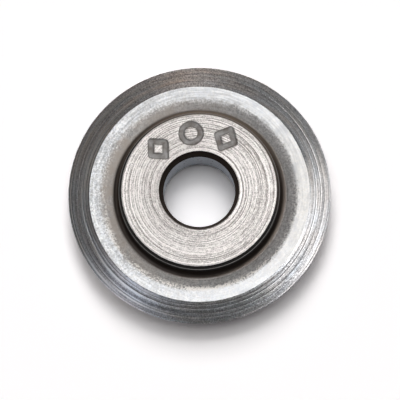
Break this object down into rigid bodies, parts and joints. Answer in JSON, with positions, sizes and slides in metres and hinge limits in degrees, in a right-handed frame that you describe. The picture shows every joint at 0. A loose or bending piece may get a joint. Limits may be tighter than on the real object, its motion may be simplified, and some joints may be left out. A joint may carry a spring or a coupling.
{
  "type": "pipe cutter wheel",
  "caption": "Round steel cutting wheel with a chamfered through bore, a raised hub on each side, a shallow groove round it, a flat land and a bevelled cutting edge.",
  "frame": {"origin": "middle of the bore, in the plane of the cutting edge, halfway between the two hub faces", "axes": "+Z along the bore axis; the wheel is the same all round it and on both sides"},
  "size_m": [0.033, 0.033, 0.0062],
  "materials": {
    "wheel_steel": "turned and ground bright on the hub face, the land and the bevel; satin in the groove; dark oxide on the hub wall and the chamfers"
  },
  "bodies": {
    "root": {"cutter_wheel": "wheel_steel"}
  },
  "joints": []
}
